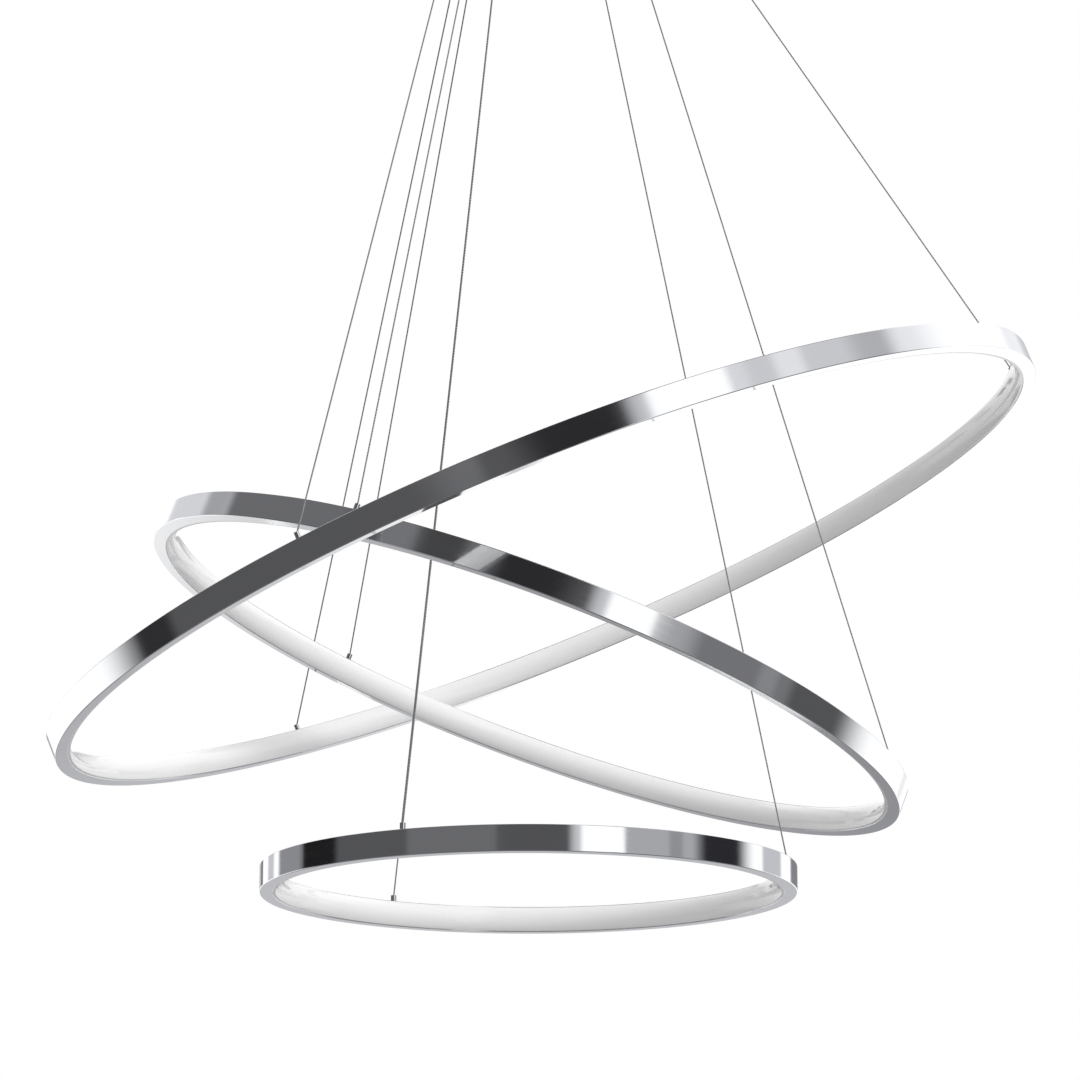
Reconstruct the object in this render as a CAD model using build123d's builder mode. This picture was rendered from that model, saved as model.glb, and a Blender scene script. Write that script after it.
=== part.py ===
# LED ring chandelier: three chrome rings that glow inwards, hung one inside another
# on nine thin steel wires from one round ceiling canopy.
#
# Millimetres. +Z is up and the origin is the centre of the ceiling plate's top face.
# The wires leave each ring at 0, 120 and 240 degrees, counted from +X.
from build123d import *
from math import cos, pi, radians, sin
import os

os.makedirs("parts", exist_ok=True)

# ---------------------------------------------------------------- driving sizes
# rings: outer diameter, depth of the ring's centre below the wires' ball centres,
# sideways shift, and how far its +X side is tipped up (and its +Y side down)
large_diameter = 800.0
large_drop = 629.6
large_shift = 14.8
large_tilt = 21.7
large_roll = 0.46
medium_diameter = 601.4
medium_drop = 712.0
medium_shift = -4.5
medium_tilt = -20.25
medium_roll = 0.46
small_diameter = 403.8
small_drop = 874.9
small_shift = -1.2
small_tilt = 0.0
small_roll = 0.0

# ring section
ring_height = 19.5
ring_width = 11.9
web_thickness = 1.4
flange_thickness = 1.3
corner_radius = 0.5
diffuser_wall = 1.5
diffuser_bulge = 4.0
diffuser_clearance = 0.05
strip_height = 10.0
strip_thickness = 0.4
strip_clearance = 0.05
led_width = 3.5
led_height = 2.8
led_thickness = 0.7
led_pitch = 34.0

# wires and the ferrules that they end in
wires_per_ring = 3
wire_diameter = 1.0
ferrule_diameter = 4.6
ferrule_height = 5.0
ferrule_mouth_radius = 1.95
ferrule_throat_radius = 0.75
ferrule_mouth_depth = 1.5
wire_end_gap = 0.4
stud_diameter = 2.5
stud_spare_length = 0.8
bush_diameter = 4.0
bush_washer_diameter = 5.4
bush_washer_thickness = 0.4
bush_collar_diameter = 8.0
bush_collar_thickness = 1.0
stud_nut_across_flats = 5.0
stud_nut_height = 2.0
fit_clearance = 0.05

# ball grips: wire circles on the canopy and the grip's own sizes
large_grip_circle = 63.9
medium_grip_circle = 45.7
small_grip_circle = 26.0
ball_radius = 6.0
ball_recess = 0.5
neck_radius = 1.9
neck_length = 10.0
grip_radius = 4.5
grip_length = 20.0
grip_edge = 0.5
wire_bore_radius = 0.8
cavity_radius = 3.3
cavity_depth = 10.0
cap_thickness = 2.0
cap_spigot_length = 1.5
plunger_travel = 2.5
plunger_collar_radius = 3.2
plunger_collar_length = 2.5
plunger_nose_radius = 2.0
plunger_nose_length = 4.5
plunger_tube_radius = 2.2
socket_radius = 8.0
socket_flange = 2.0
socket_lip_depth = 3.4
stem_radius = 5.0
stem_length = 6.0
stem_bore_radius = 2.0
stem_nut_across_flats = 14.0
stem_nut_height = 3.0

# canopy and what it hides
canopy_diameter = 200.0
canopy_depth = 36.0
canopy_wall = 1.2
canopy_corner = 4.0
canopy_rim_gap = 0.5
plate_diameter = 184.0
plate_thickness = 2.0
plate_hole_spacing = 120.0
plate_hole_diameter = 5.0
cable_hole_diameter = 12.0
cable_hole_offset = 72.0
tab_count = 3
tab_width = 14.0
tab_height = 14.0
tab_gap = 0.6
side_screw_radius = 2.0
side_screw_head_radius = 5.0
side_screw_head_length = 6.0
side_screw_grip = 8.0
driver_length = 90.0
driver_width = 34.0
driver_height = 20.0
driver_spacing = 40.0
driver_edge = 1.0
driver_ear_length = 8.0
driver_ear_thickness = 2.0
driver_screw_radius = 1.5
driver_screw_head_radius = 2.8
driver_screw_head_height = 2.0
terminal_length = 30.0
terminal_width = 12.0
terminal_height = 14.0
terminal_ways = 3
terminal_offset = 74.0
terminal_screw_radius = 1.6
terminal_screw_depth = 6.0

# ------------------------------------------------------------- shared positions
canopy_radius = canopy_diameter / 2
floor_bottom = -canopy_depth
floor_top = floor_bottom + canopy_wall
socket_cavity_radius = ball_radius + fit_clearance
ball_height = floor_bottom - ball_radius + ball_recess
grip_start = neck_length
grip_end = grip_start + grip_length
cap_end = grip_end + cap_thickness
collar_bottom = grip_end - cap_spigot_length - fit_clearance
collar_top = collar_bottom - plunger_collar_length
plunger_top = grip_end - cavity_depth + plunger_travel + 2 * fit_clearance
tab_face = canopy_radius - canopy_wall - tab_gap
tab_middle = -plate_thickness - tab_height / 2
wire_angles = [360 / wires_per_ring * i for i in range(wires_per_ring)]


class Ring:
    # one ring's name, place and size, from the driving sizes
    def __init__(self, name, diameter, drop, shift, tilt, roll, grip_circle):
        self.name = name
        self.radius = diameter / 2
        self.grip_circle = grip_circle
        a, b = radians(tilt), radians(-roll)
        x_dir = Vector(cos(a), -sin(b) * sin(a), cos(b) * sin(a))
        normal = Vector(-sin(a), -sin(b) * cos(a), cos(b) * cos(a))
        centre = Vector(shift, 0, ball_height - drop)
        self.plane = Plane(origin=centre, x_dir=x_dir, z_dir=normal)
        self.top = self.plane.offset(ring_height)
        self.axis = Axis(centre, normal)
        self.section = Plane(origin=centre, x_dir=x_dir, z_dir=x_dir.cross(normal))
        self.stud_circle = self.radius - ring_width / 2
        self.inner_radius = self.radius - ring_width

    def ball(self, angle):
        # centre of the ball that lets this wire's grip swivel under the canopy
        t = radians(angle)
        return Vector(self.grip_circle * cos(t), self.grip_circle * sin(t), ball_height)

    def foot(self, angle):
        # lower end of the wire, inside the mouth of its ferrule
        t = radians(angle)
        lift = bush_washer_thickness + ferrule_height - ferrule_mouth_depth + wire_end_gap
        local = Vector(self.stud_circle * cos(t), self.stud_circle * sin(t), lift)
        return self.top.from_local_coords(local)


rings = [
    Ring("large", large_diameter, large_drop, large_shift, large_tilt, large_roll,
         large_grip_circle),
    Ring("medium", medium_diameter, medium_drop, medium_shift, medium_tilt, medium_roll,
         medium_grip_circle),
    Ring("small", small_diameter, small_drop, small_shift, small_tilt, small_roll,
         small_grip_circle),
]


def save(part, name):
    part.label = name
    export_step(part, f"parts/{name}.step")


def along(start, direction):
    # section plane of a turned piece: X across, Y along its axis from start
    across = direction.cross(Vector(0, 0, 1)).normalized()
    return Plane(origin=start, x_dir=across, z_dir=across.cross(direction))


# ------------------------------------------------------------------ ceiling plate
with BuildPart() as ceiling_plate:
    with BuildSketch(Plane.XY.offset(-plate_thickness)):
        Circle(plate_diameter / 2)
        with PolarLocations(tab_face / 2, tab_count, start_angle=60):
            Rectangle(tab_face, tab_width)
        with GridLocations(plate_hole_spacing, 0, 2, 1):
            Circle(plate_hole_diameter / 2, mode=Mode.SUBTRACT)
        with Locations((0, -cable_hole_offset)):
            Circle(cable_hole_diameter / 2, mode=Mode.SUBTRACT)
        with GridLocations(driver_length + driver_ear_length, driver_spacing, 2, 3):
            Circle(driver_screw_radius + fit_clearance, mode=Mode.SUBTRACT)
    extrude(amount=plate_thickness)
    with BuildSketch(Plane.XY.offset(-plate_thickness)):
        with PolarLocations(tab_face - plate_thickness / 2, tab_count, start_angle=60):
            Rectangle(plate_thickness, tab_width)
    extrude(amount=-tab_height)
    for i in range(tab_count):
        screw_line = Plane((0, 0, tab_middle)).rotated((0, 0, 60 + 360 / tab_count * i))
        with BuildSketch(Plane(screw_line.origin, x_dir=screw_line.y_dir, z_dir=screw_line.x_dir)):
            Circle(side_screw_radius + fit_clearance)
        extrude(amount=canopy_radius, mode=Mode.SUBTRACT)
save(ceiling_plate.part, "ceiling_plate")

# ------------------------------------------------------------------- canopy dish
with BuildPart() as canopy_dish:
    with BuildSketch(Plane.XZ):
        with BuildLine():
            wall_top = (canopy_radius, -canopy_rim_gap)
            outline = Polyline((0, floor_bottom), (canopy_radius, floor_bottom), wall_top,
                               (canopy_radius - canopy_wall, -canopy_rim_gap),
                               (canopy_radius - canopy_wall, floor_top), (0, floor_top),
                               (0, floor_bottom))
        make_face()
        fillet(vertices().filter_by_position(Axis.X, canopy_radius - 0.1, canopy_radius + 0.1)
               .sort_by(Axis.Y)[0], canopy_corner)
        fillet(vertices().filter_by_position(Axis.Y, floor_top - 0.1, floor_top + 0.1)
               .sort_by(Axis.X)[-1], canopy_corner - canopy_wall)
    revolve(axis=Axis.Z)
    for ring in rings:
        with BuildSketch(Plane.XY.offset(floor_bottom)):
            with PolarLocations(ring.grip_circle, wires_per_ring):
                Circle(stem_radius + fit_clearance)
        extrude(amount=canopy_wall, mode=Mode.SUBTRACT)
    for i in range(tab_count):
        screw_line = Plane((0, 0, tab_middle)).rotated((0, 0, 60 + 360 / tab_count * i))
        with BuildSketch(Plane(screw_line.origin, x_dir=screw_line.y_dir, z_dir=screw_line.x_dir)):
            Circle(side_screw_radius + 2 * fit_clearance)
        extrude(amount=canopy_diameter, mode=Mode.SUBTRACT)
save(canopy_dish.part, "canopy_dish")

# side screws that hold the dish on the plate's tabs
with BuildPart() as canopy_screws:
    for i in range(tab_count):
        screw_line = Plane((0, 0, tab_middle)).rotated((0, 0, 60 + 360 / tab_count * i))
        seat = screw_line.origin + screw_line.x_dir * (canopy_radius + fit_clearance)
        with BuildSketch(Plane(seat, x_dir=screw_line.y_dir, z_dir=screw_line.x_dir)):
            Circle(side_screw_head_radius)
        extrude(amount=side_screw_head_length)
        with BuildSketch(Plane(seat, x_dir=screw_line.y_dir, z_dir=screw_line.x_dir)):
            Circle(side_screw_radius)
        extrude(amount=-side_screw_grip)
    chamfer(canopy_screws.edges().filter_by(GeomType.CIRCLE)
            .filter_by(lambda edge: abs(edge.radius - side_screw_head_radius) < 0.01), grip_edge)
save(canopy_screws.part, "canopy_screws")

# -------------------------------------------------------------------- LED drivers
for i, ring in enumerate(rings):
    with BuildPart() as led_driver:
        with BuildSketch(Plane.XY.offset(-plate_thickness)):
            with Locations((0, driver_spacing * (i - 1))):
                Rectangle(driver_length, driver_width)
        extrude(amount=-driver_height)
        fillet(led_driver.edges().filter_by(Axis.Z), driver_edge)
        with BuildSketch(Plane.XY.offset(-plate_thickness)):
            with Locations((0, driver_spacing * (i - 1))):
                Rectangle(driver_length + 2 * driver_ear_length, driver_width / 2)
        extrude(amount=-driver_ear_thickness)
        with BuildSketch(Plane.XY.offset(-plate_thickness)):
            with Locations((0, driver_spacing * (i - 1))):
                with GridLocations(driver_length + driver_ear_length, 0, 2, 1):
                    Circle(driver_screw_radius + fit_clearance)
        extrude(amount=-driver_ear_thickness, mode=Mode.SUBTRACT)
    save(led_driver.part, f"{ring.name}_led_driver")

with BuildPart() as driver_screws:
    ear_bottom = -plate_thickness - driver_ear_thickness
    with BuildSketch(Plane.XY.offset(ear_bottom)):
        with GridLocations(driver_length + driver_ear_length, driver_spacing, 2, 3):
            Circle(driver_screw_head_radius)
    extrude(amount=-driver_screw_head_height)
    with BuildSketch(Plane.XY.offset(ear_bottom)):
        with GridLocations(driver_length + driver_ear_length, driver_spacing, 2, 3):
            Circle(driver_screw_radius)
    extrude(amount=driver_ear_thickness + plate_thickness - fit_clearance)
save(driver_screws.part, "driver_screws")

# ----------------------------------------------------------------- mains terminals
with BuildPart() as terminal_block:
    with BuildSketch(Plane.XY.offset(-plate_thickness)):
        with Locations((0, terminal_offset)):
            Rectangle(terminal_length, terminal_width)
    extrude(amount=-terminal_height)
    with BuildSketch(Plane.XY.offset(-plate_thickness - terminal_height)):
        with Locations((0, terminal_offset)):
            with GridLocations(terminal_length / terminal_ways, 0, terminal_ways, 1):
                Circle(terminal_screw_radius + fit_clearance)
    extrude(amount=terminal_screw_depth, mode=Mode.SUBTRACT)
save(terminal_block.part, "terminal_block")

with BuildPart() as terminal_screws:
    with BuildSketch(Plane.XY.offset(-plate_thickness - terminal_height + grip_edge)):
        with Locations((0, terminal_offset)):
            with GridLocations(terminal_length / terminal_ways, 0, terminal_ways, 1):
                Circle(terminal_screw_radius)
    extrude(amount=terminal_screw_depth - grip_edge)
save(terminal_screws.part, "terminal_screws")

# -------------------------------------------------------------- ball grip sockets
with BuildPart() as grip_stems:
    for ring in rings:
        for angle in wire_angles:
            ball = ring.ball(angle)
            with BuildSketch(Plane.XY.offset(floor_bottom)):
                with Locations((ball.X, ball.Y)):
                    Circle(socket_radius)
            extrude(amount=-socket_flange)
            with BuildSketch(Plane.XY.offset(floor_bottom)):
                with Locations((ball.X, ball.Y)):
                    Circle(stem_radius)
            extrude(amount=stem_length + canopy_wall)
    for ring in rings:
        for angle in wire_angles:
            ball = ring.ball(angle)
            with BuildSketch(Plane.XY.offset(ball_height)):
                with Locations((ball.X, ball.Y)):
                    Circle(stem_bore_radius)
            extrude(amount=canopy_depth, mode=Mode.SUBTRACT)
            with Locations(ball):
                Sphere(socket_cavity_radius, mode=Mode.SUBTRACT)
save(grip_stems.part, "grip_stems")

with BuildPart() as grip_collars:
    collar_top_height = floor_bottom - socket_flange
    collar_length = collar_top_height - ball_height + socket_lip_depth
    for ring in rings:
        for angle in wire_angles:
            ball = ring.ball(angle)
            with BuildSketch(Plane.XY.offset(collar_top_height)):
                with Locations((ball.X, ball.Y)):
                    Circle(socket_radius)
            extrude(amount=-collar_length)
    for ring in rings:
        for angle in wire_angles:
            ball = ring.ball(angle)
            with Locations(ball):
                Sphere(socket_cavity_radius, mode=Mode.SUBTRACT)
            with BuildSketch(Plane.XY.offset(ball_height)):
                with Locations((ball.X, ball.Y)):
                    Circle(socket_cavity_radius)
            extrude(amount=canopy_depth, mode=Mode.SUBTRACT)
save(grip_collars.part, "grip_collars")

with BuildPart() as stem_nuts:
    for ring in rings:
        with BuildSketch(Plane.XY.offset(floor_top)):
            with PolarLocations(ring.grip_circle, wires_per_ring):
                RegularPolygon(stem_nut_across_flats / 2, 6, major_radius=False)
                Circle(stem_radius + fit_clearance, mode=Mode.SUBTRACT)
        extrude(amount=stem_nut_height)
save(stem_nuts.part, "stem_nuts")

# ------------------------------------------------------------ grips and plungers
for ring in rings:
    with BuildPart() as grip_bodies:
        for angle in wire_angles:
            ball = ring.ball(angle)
            direction = (ring.foot(angle) - ball).normalized()
            turned = along(ball, direction)
            with BuildSketch(turned):
                with BuildLine():
                    ball_end = Vector(wire_bore_radius, -(ball_radius**2 - wire_bore_radius**2)**0.5)
                    neck_end = Vector(neck_radius, (ball_radius**2 - neck_radius**2)**0.5)
                    ThreePointArc(ball_end, (ball_radius, 0), neck_end)
                    Polyline(neck_end, (neck_radius, grip_start), (grip_radius - grip_edge, grip_start),
                             (grip_radius, grip_start + grip_edge), (grip_radius, grip_end),
                             (cavity_radius, grip_end), (cavity_radius, grip_end - cavity_depth),
                             (wire_bore_radius, grip_end - cavity_depth), ball_end)
                make_face()
            revolve(axis=Axis(ball, direction))
    save(grip_bodies.part, f"{ring.name}_grip_bodies")

with BuildPart() as grip_caps:
    for ring in rings:
        for angle in wire_angles:
            ball = ring.ball(angle)
            direction = (ring.foot(angle) - ball).normalized()
            turned = along(ball, direction)
            with BuildSketch(turned):
                with BuildLine():
                    hole = plunger_nose_radius + fit_clearance
                    spigot = cavity_radius - fit_clearance
                    spigot_top = grip_end - cap_spigot_length
                    Polyline((hole, spigot_top), (spigot, spigot_top), (spigot, grip_end),
                             (grip_radius, grip_end), (grip_radius, cap_end - grip_edge),
                             (grip_radius - grip_edge, cap_end), (hole, cap_end),
                             (hole, spigot_top))
                make_face()
            revolve(axis=Axis(ball, direction))
save(grip_caps.part, "grip_caps")

for ring in rings:
    for number, angle in enumerate(wire_angles, 1):
        ball = ring.ball(angle)
        direction = (ring.foot(angle) - ball).normalized()
        turned = along(ball, direction)
        with BuildPart() as plunger:
            with BuildSketch(turned):
                with BuildLine():
                    nose_end = cap_end + plunger_nose_length
                    Polyline((wire_bore_radius, plunger_top), (plunger_tube_radius, plunger_top),
                             (plunger_tube_radius, collar_top), (plunger_collar_radius, collar_top),
                             (plunger_collar_radius, collar_bottom),
                             (plunger_nose_radius, collar_bottom),
                             (plunger_nose_radius, nose_end - grip_edge),
                             (plunger_nose_radius - grip_edge, nose_end),
                             (wire_bore_radius, nose_end), (wire_bore_radius, plunger_top))
                make_face()
            revolve(axis=Axis(ball, direction))
        save(plunger.part, f"{ring.name}_release_plunger_{number}")

# ----------------------------------------------------------------- suspension wires
for ring in rings:
    for number, angle in enumerate(wire_angles, 1):
        ball = ring.ball(angle)
        foot = ring.foot(angle)
        length = (foot - ball).length
        with BuildPart() as wire:
            with BuildSketch(Plane(origin=foot, z_dir=(ball - foot).normalized())):
                Circle(wire_diameter / 2)
            extrude(amount=length)
        save(wire.part, f"{ring.name}_wire_{number}")
        print(f"{ring.name}_wire_{number}: ball {tuple(round(v, 2) for v in ball)}, "
              f"foot {tuple(round(v, 2) for v in foot)}")
        print(f"{ring.name}_wire_{number}: length {length:.1f}, volume {wire.part.volume:.2f}, "
              f"section x length {pi * wire_diameter**2 / 4 * length:.2f}")

# ------------------------------------------------------------------------- rings
for ring in rings:
    outer, inner = ring.radius, ring.inner_radius

    # C-shaped extrusion, rolled into a ring and open towards its centre
    with BuildPart() as ring_channel:
        with BuildSketch(ring.section):
            with Locations((outer - ring_width / 2, ring_height / 2)):
                Rectangle(ring_width, ring_height)
            fillet(vertices().group_by(Axis.X)[-1], corner_radius)
            with Locations((inner, ring_height / 2)):
                Rectangle(2 * (ring_width - web_thickness), ring_height - 2 * flange_thickness,
                          mode=Mode.SUBTRACT)
        revolve(axis=ring.axis)
        with BuildSketch(ring.top):
            with PolarLocations(ring.stud_circle, wires_per_ring):
                Circle(bush_diameter / 2 + fit_clearance)
        extrude(amount=-2 * flange_thickness, mode=Mode.SUBTRACT)
    save(ring_channel.part, f"{ring.name}_ring_channel")

    # opal strip that bulges out of the channel's mouth
    with BuildPart() as diffuser:
        with BuildSketch(ring.section):
            with BuildLine():
                low = flange_thickness + diffuser_clearance
                high = ring_height - low
                middle = ring_height / 2
                back = inner + diffuser_wall
                ThreePointArc((inner, low), (inner - diffuser_bulge, middle), (inner, high))
                Line((inner, high), (back, high))
                ThreePointArc((back, high), (back - diffuser_bulge, middle), (back, low))
                Line((back, low), (inner, low))
            make_face()
        revolve(axis=ring.axis)
    save(diffuser.part, f"{ring.name}_diffuser")

    # flexible circuit on the inside of the channel's web, and its LEDs
    strip_outer = outer - web_thickness - strip_clearance
    strip_inner = strip_outer - strip_thickness
    with BuildPart() as led_strip:
        with BuildSketch(ring.section):
            with Locations(((strip_outer + strip_inner) / 2, ring_height / 2)):
                Rectangle(strip_thickness, strip_height)
        revolve(axis=ring.axis)
    save(led_strip.part, f"{ring.name}_led_strip")

    led_count = round(2 * pi * strip_inner / led_pitch)
    led_back = strip_inner * cos(led_width / 2 / strip_inner) - strip_clearance
    with BuildPart() as leds:
        with BuildSketch(ring.plane.offset(ring_height / 2 - led_height / 2)):
            with PolarLocations(led_back - led_thickness / 2, led_count):
                Rectangle(led_thickness, led_width)
        extrude(amount=led_height)
    save(leds.part, f"{ring.name}_leds")

    # insulating bushes, because the wires also carry the low-voltage current
    with BuildPart() as bushes:
        with BuildSketch(ring.top):
            with PolarLocations(ring.stud_circle, wires_per_ring):
                Circle(bush_washer_diameter / 2)
        extrude(amount=bush_washer_thickness)
        with BuildSketch(ring.top):
            with PolarLocations(ring.stud_circle, wires_per_ring):
                Circle(bush_diameter / 2)
        extrude(amount=-flange_thickness)
        with BuildSketch(ring.top.offset(-flange_thickness)):
            with PolarLocations(ring.stud_circle, wires_per_ring):
                Circle(bush_collar_diameter / 2)
        extrude(amount=-bush_collar_thickness)
        with BuildSketch(ring.top.offset(bush_washer_thickness)):
            with PolarLocations(ring.stud_circle, wires_per_ring):
                Circle(stud_diameter / 2 + fit_clearance)
        extrude(amount=-ring_height / 2, mode=Mode.SUBTRACT)
    save(bushes.part, f"{ring.name}_bushes")

    # ferrules: a flared head that the wire comes out of, and a stud into the ring
    stud_length = (bush_washer_thickness + flange_thickness + bush_collar_thickness
                   + stud_nut_height + stud_spare_length)
    ferrule_seat = ring.top.offset(bush_washer_thickness)
    with BuildPart() as ferrules:
        with BuildSketch(ferrule_seat):
            with PolarLocations(ring.stud_circle, wires_per_ring):
                Circle(ferrule_diameter / 2)
        extrude(amount=ferrule_height)
        with BuildSketch(ferrule_seat):
            with PolarLocations(ring.stud_circle, wires_per_ring):
                Circle(stud_diameter / 2)
        extrude(amount=-stud_length)
        for angle in wire_angles:
            t = radians(angle)
            spot = (ring.stud_circle * cos(t), ring.stud_circle * sin(t))
            with BuildSketch(ferrule_seat.offset(ferrule_height)):
                with Locations(spot):
                    Circle(ferrule_mouth_radius)
            with BuildSketch(ferrule_seat.offset(ferrule_height - ferrule_mouth_depth)):
                with Locations(spot):
                    Circle(ferrule_throat_radius)
            loft(mode=Mode.SUBTRACT)
    save(ferrules.part, f"{ring.name}_ferrules")

    with BuildPart() as stud_nuts:
        nut_top = ring.top.offset(-flange_thickness - bush_collar_thickness)
        with BuildSketch(nut_top):
            with PolarLocations(ring.stud_circle, wires_per_ring):
                RegularPolygon(stud_nut_across_flats / 2, 6, major_radius=False)
                Circle(stud_diameter / 2 + fit_clearance, mode=Mode.SUBTRACT)
        extrude(amount=-stud_nut_height)
    save(stud_nuts.part, f"{ring.name}_stud_nuts")
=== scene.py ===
from math import atan2, cos, hypot, pi, radians, sin, sqrt, tan, tau

import bpy
from mathutils import Matrix, Vector


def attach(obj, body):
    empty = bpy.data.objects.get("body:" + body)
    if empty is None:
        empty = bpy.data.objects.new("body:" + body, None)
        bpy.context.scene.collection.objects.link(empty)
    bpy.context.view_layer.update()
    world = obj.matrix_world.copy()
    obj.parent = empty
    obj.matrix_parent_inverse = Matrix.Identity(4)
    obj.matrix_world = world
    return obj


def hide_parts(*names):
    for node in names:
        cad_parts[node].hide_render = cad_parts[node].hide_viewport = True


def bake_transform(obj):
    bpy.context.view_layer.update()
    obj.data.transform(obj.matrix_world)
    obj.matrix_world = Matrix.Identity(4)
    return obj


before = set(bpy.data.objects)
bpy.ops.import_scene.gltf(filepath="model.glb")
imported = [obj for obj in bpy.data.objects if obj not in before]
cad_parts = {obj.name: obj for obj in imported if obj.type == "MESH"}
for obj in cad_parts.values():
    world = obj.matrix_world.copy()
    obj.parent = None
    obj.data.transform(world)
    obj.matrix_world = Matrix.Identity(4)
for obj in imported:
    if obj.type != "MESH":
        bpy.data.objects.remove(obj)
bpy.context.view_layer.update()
mm = 0.001
print("frame loaded:", len(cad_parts), "CAD nodes")


def srgb(hexColour):
    # sRGB hex to Blender's linear RGBA
    def linear(c):
        return c / 12.92 if c <= 0.04045 else ((c + 0.055) / 1.055) ** 2.4
    parts = [int(hexColour[i:i + 2], 16) / 255 for i in (1, 3, 5)]
    return (*[linear(c) for c in parts], 1.0)


def addNode(tree, kind, inputs=None, **settings):
    # adds a node, sets its settings, and fills or links its inputs
    node = tree.nodes.new("ShaderNode" + kind)
    for name, value in settings.items():
        setattr(node, name, value)
    for name, value in (inputs or {}).items():
        if isinstance(value, bpy.types.NodeSocket):
            tree.links.new(value, node.inputs[name])
        else:
            node.inputs[name].default_value = value
    return node


def startMaterial(name, baseColour, roughness, metallic=0.0, **more):
    # a Principled material; more holds further sockets, such as IOR or Emission_Strength
    material = bpy.data.materials.new(name)
    material.use_nodes = True
    tree = material.node_tree
    tree.nodes.clear()
    shader = addNode(tree, "BsdfPrincipled", {"Base Color": srgb(baseColour),
                                              "Roughness": roughness, "Metallic": metallic})
    for socket, value in more.items():
        shader.inputs[socket.replace("_", " ")].default_value = value
    addNode(tree, "OutputMaterial", {"Surface": shader.outputs[0]})
    return material, tree, shader


def noiseAt(tree, vector, size, detail=2.0):
    # noise whose blobs are about size across
    noise = addNode(tree, "TexNoise", {"Vector": vector, "Scale": 1 / size, "Detail": detail})
    return noise.outputs["Fac"]


def spread(tree, value, low, high, fromLow=0.3, fromHigh=0.7):
    # maps a noise value to the range low to high
    ranged = addNode(tree, "MapRange", {"Value": value, "From Min": fromLow, "From Max": fromHigh,
                                        "To Min": low, "To Max": high})
    return ranged.outputs[0]


def toneMix(tree, factor, light, dark):
    # a colour between two hex tones
    return addNode(tree, "Mix", {"Factor": factor, "A": srgb(light), "B": srgb(dark)},
                   data_type="RGBA").outputs["Result"]


def bumpFrom(tree, shader, heights):
    # stacks (value, height in metres) pairs into the shader's normal
    normal = None
    for value, height in heights:
        bump = addNode(tree, "Bump", {"Height": value, "Distance": height, "Strength": 1.0})
        if normal:
            tree.links.new(normal, bump.inputs["Normal"])
        normal = bump.outputs[0]
    tree.links.new(normal, shader.inputs["Normal"])


def objectPlace(tree):
    # a point's place in metres, in the piece's own axes
    return addNode(tree, "TexCoord").outputs["Object"]


def turnedPlace(tree):
    # radius, slow drift round the piece and height, as turned() stores them on its points
    return addNode(tree, "Attribute", attribute_name="turnedSpot").outputs["Vector"]


# materials

def chromePlatedAluminium():
    # rolled extrusion, buffed and chrome plated: a soft mirror, faintly pulled along the ring
    buffing = dict(spacing=0.8 * mm, height=0.0004 * mm, wave=70 * mm, waveHeight=0.02 * mm,
                   roughness=(0.045, 0.09))
    material, tree, shader = startMaterial("chromePlatedAluminium", "#F1F2F4", 0.07, 1.0)
    lines = noiseAt(tree, turnedPlace(tree), buffing["spacing"])
    wave = noiseAt(tree, objectPlace(tree), buffing["wave"], detail=1.0)
    tree.links.new(spread(tree, lines, *buffing["roughness"]), shader.inputs["Roughness"])
    bumpFrom(tree, shader, [(lines, buffing["height"]), (wave, buffing["waveHeight"])])
    return material


def chromePlatedBrass():
    # turned on a lathe and plated: bright, with fine turning marks that soften the mirror
    marks = dict(spacing=0.5 * mm, height=0.0006 * mm, roughness=(0.02, 0.06))
    material, tree, shader = startMaterial("chromePlatedBrass", "#ECEDEF", 0.04, 1.0)
    lines = noiseAt(tree, turnedPlace(tree), marks["spacing"])
    tree.links.new(spread(tree, lines, *marks["roughness"]), shader.inputs["Roughness"])
    bumpFrom(tree, shader, [(lines, marks["height"])])
    return material


def chromePlatedSteel():
    # spun and buffed dish: a mirror with faint rings round its centre
    spinning = dict(spacing=1.2 * mm, height=0.0005 * mm, wave=50 * mm, waveHeight=0.03 * mm,
                    roughness=(0.05, 0.1))
    material, tree, shader = startMaterial("chromePlatedSteel", "#EDEEF0", 0.07, 1.0)
    rings = noiseAt(tree, turnedPlace(tree), spinning["spacing"])
    wave = noiseAt(tree, objectPlace(tree), spinning["wave"], detail=1.0)
    tree.links.new(spread(tree, rings, *spinning["roughness"]), shader.inputs["Roughness"])
    bumpFrom(tree, shader, [(rings, spinning["height"]), (wave, spinning["waveHeight"])])
    return material


def opalAcrylic():
    # extruded opal acrylic: milky white, glossy skin, fine grain and faint lines along its length
    # the grain is finer on the real strip, and drawn so that it shows
    skin = dict(grain=0.9 * mm, grainHeight=0.0002 * mm, line=2.5 * mm, lineHeight=0.001 * mm,
                roughness=(0.03, 0.07))
    material, tree, shader = startMaterial("opalAcrylic", "#F3F3F3", 0.05, IOR=1.49)
    grain = noiseAt(tree, objectPlace(tree), skin["grain"], detail=3.0)
    lines = noiseAt(tree, turnedPlace(tree), skin["line"], detail=1.0)
    tree.links.new(toneMix(tree, grain, "#F8F8F8", "#ECECEC"), shader.inputs["Base Color"])
    tree.links.new(spread(tree, lines, *skin["roughness"]), shader.inputs["Roughness"])
    bumpFrom(tree, shader, [(grain, skin["grainHeight"]), (lines, skin["lineHeight"])])
    return material


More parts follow.
